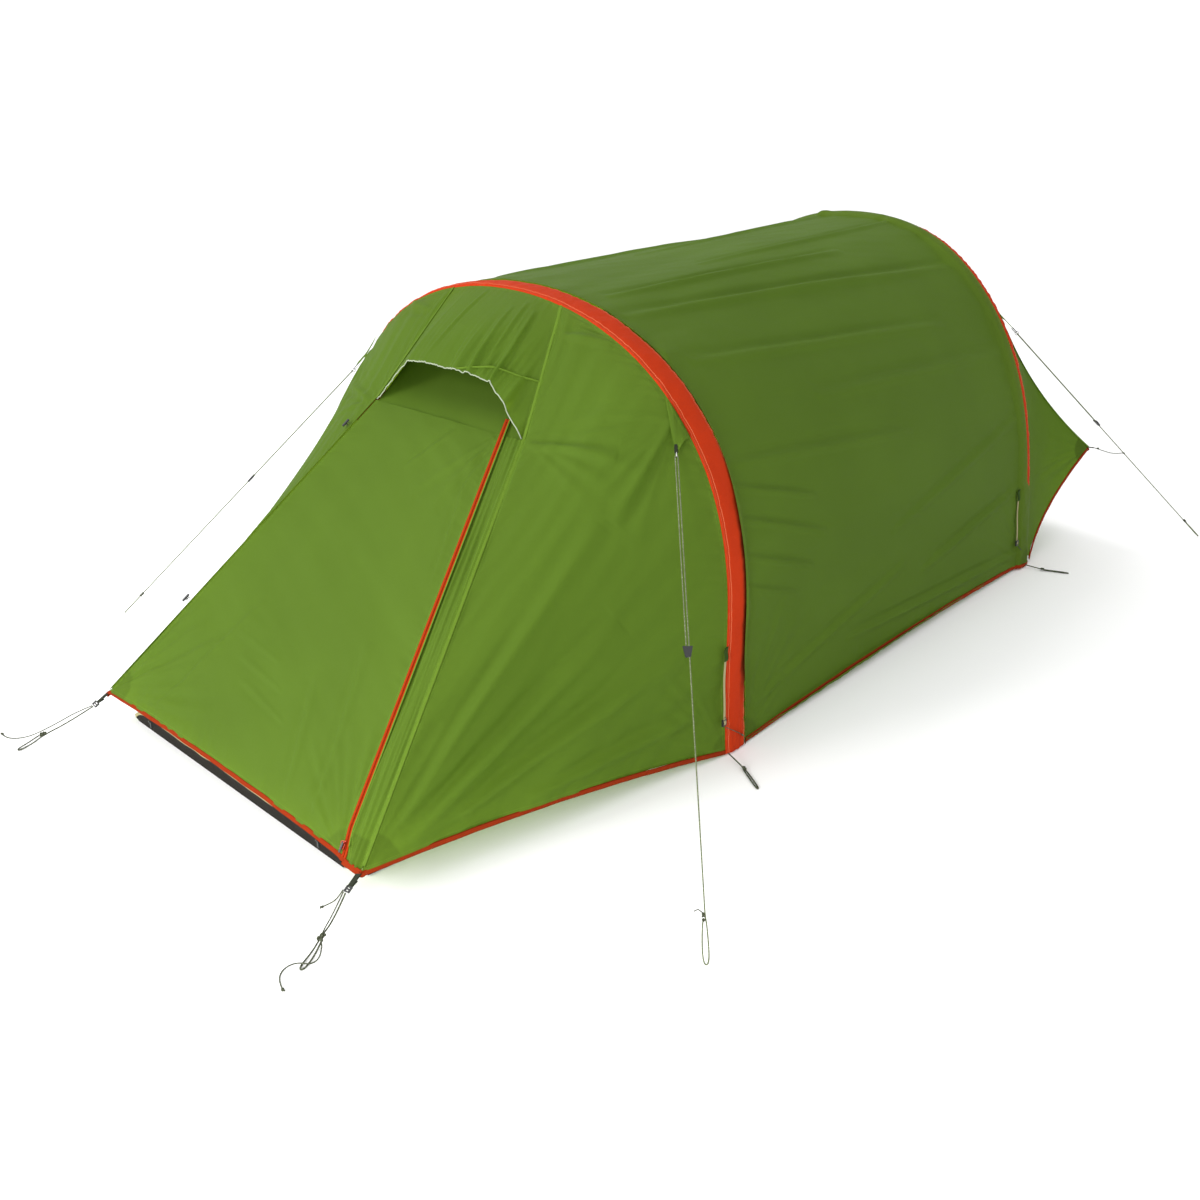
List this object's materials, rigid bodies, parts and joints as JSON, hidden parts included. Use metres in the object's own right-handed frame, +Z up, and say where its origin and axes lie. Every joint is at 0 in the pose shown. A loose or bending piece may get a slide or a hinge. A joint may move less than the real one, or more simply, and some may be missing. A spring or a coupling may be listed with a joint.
{
  "type": "tunnel tent",
  "caption": "Two-person tunnel tent held up by inflatable arch beams, with a zipped sloping door, a hooded vent, an inner tent and guy lines.",
  "frame": {"origin": "on the ground, at the middle of the box round the tent without its cords", "axes": "+Z up, -Y towards the door, +X towards the side with the door zip"},
  "size_m": [2.4264, 3.5498, 1.111],
  "materials": {
    "fly_fabric": "ripstop flysheet fabric, light sheen",
    "red_binding": "woven red-orange tape and sleeve cloth",
    "red_zip": "coil zip tape",
    "zip_metal": "painted slider",
    "dark_plastic": "moulded plastic",
    "beam_film": "welded film tube",
    "valve_plastic": "moulded valve",
    "valve_cap": "moulded cap",
    "inner_fabric": "breathable inner cloth",
    "groundsheet": "coated groundsheet",
    "cream_webbing": "narrow webbing",
    "dark_webbing": "narrow webbing with reflective flecks",
    "ring_metal": "small ring",
    "cord": "braided guy cord"
  },
  "bodies": {
    "tent": {"fly_main_canopy": "fly_fabric", "fly_porch_side_near": "fly_fabric", "fly_porch_side_far": "fly_fabric", "door_jamb_strip": "fly_fabric", "door_zip_fixed_tape": "red_zip", "vent_hood": "fly_fabric", "vent_baffle": "fly_fabric", "fly_rear_side_near": "fly_fabric", "fly_rear_side_far": "fly_fabric", "fly_rear_end": "fly_fabric", "hem_binding_near": "red_binding", "hem_binding_far": "red_binding", "hem_binding_rear": "red_binding", "beam_sleeve_front": "red_binding", "air_beam_front": "beam_film", "inflation_valve_front": "valve_plastic", "beam_sleeve_rear": "red_binding", "air_beam_rear": "beam_film", "inflation_valve_rear": "valve_plastic", "door_tie_toggles": "dark_plastic", "inner_canopy": "inner_fabric", "inner_foot_end": "inner_fabric", "inner_front_wall": "inner_fabric", "groundsheet_tub": "groundsheet", "inner_hanging_toggles": "dark_plastic", "porch_groundsheet": "groundsheet", "lip_webbing": "cream_webbing", "lip_hooks": "dark_plastic", "guy_gussets_front": "fly_fabric", "guy_gussets_rear": "fly_fabric", "guy_rings": "ring_metal", "foot_straps": "cream_webbing", "foot_buckles": "dark_plastic", "corner_tabs": "dark_webbing", "corner_ladder_locks": "dark_plastic", "guy_line_front_near": "cord", "guy_line_front_far": "cord", "guy_line_rear_near": "cord", "corner_cord_rear_near": "cord", "peg_cord_front_near": "cord", "peg_tail_front_near": "cord", "peg_stub_front_near": "cord", "peg_cord_front_far": "cord", "peg_tail_front_far": "cord", "foot_loop_front_near": "cord", "foot_loop_rear_near": "cord", "foot_cord_front_near": "cord", "foot_cord_rear_near": "cord"},
    "door": {"door_panel": "fly_fabric", "door_zip_door_tape": "red_zip", "hem_binding_door": "red_binding"},
    "zip_slider": {"zip_slider": "zip_metal"},
    "zip_puller": {"zip_puller": "dark_plastic"},
    "inner_door": {"inner_door": "inner_fabric"},
    "runner_front_near": {"guy_runner_front_near": "dark_plastic"},
    "runner_front_far": {"guy_runner_front_far": "dark_plastic"},
    "runner_rear_near": {"guy_runner_rear_near": "dark_plastic"},
    "valve_cap_front": {"valve_cap_front": "valve_cap"},
    "valve_cap_rear": {"valve_cap_rear": "valve_cap"}
  },
  "joints": [
    {"name": "door_swing", "type": "hinge", "parent": "tent", "child": "door", "pos_m": [-0.572, -1.525, 0.088], "axis": [-0.2624, -0.7085, -0.6551], "range_deg": [0, 110]},
    {"name": "zip_slide", "type": "slide", "parent": "door", "child": "zip_slider", "axis": [-0.2624, 0.7085, 0.6551], "range_m": [0, 1.025]},
    {"name": "puller_flip", "type": "hinge", "parent": "zip_slider", "child": "zip_puller", "pos_m": [0.48786, -1.5082, 0.11389], "axis": [-0.965, -0.1927, -0.1781], "range_deg": [0, 150]},
    {"name": "inner_door_swing", "type": "hinge", "parent": "tent", "child": "inner_door", "pos_m": [-0.376, -0.4408, 0.45], "axis": [0, 0, 1], "range_deg": [0, 85]},
    {"name": "runner_front_near_slide", "type": "slide", "parent": "tent", "child": "runner_front_near", "axis": [-0.5151, 0.5089, 0.6897], "range_m": [0, 0.25]},
    {"name": "runner_front_far_slide", "type": "slide", "parent": "tent", "child": "runner_front_far", "axis": [0.5151, 0.5089, 0.6897], "range_m": [0, 0.25]},
    {"name": "runner_rear_near_slide", "type": "slide", "parent": "tent", "child": "runner_rear_near", "axis": [-0.4423, -0.5673, 0.6947], "range_m": [0, 0.25]},
    {"name": "valve_cap_front_turn", "type": "hinge", "parent": "tent", "child": "valve_cap_front", "pos_m": [-0.67214, -0.512, 0.15], "axis": [1, 0, 0], "range_deg": [0, 270]},
    {"name": "valve_cap_rear_turn", "type": "hinge", "parent": "tent", "child": "valve_cap_rear", "pos_m": [-0.64697, 1.083, 0.15], "axis": [1, 0, 0], "range_deg": [0, 270]}
  ]
}
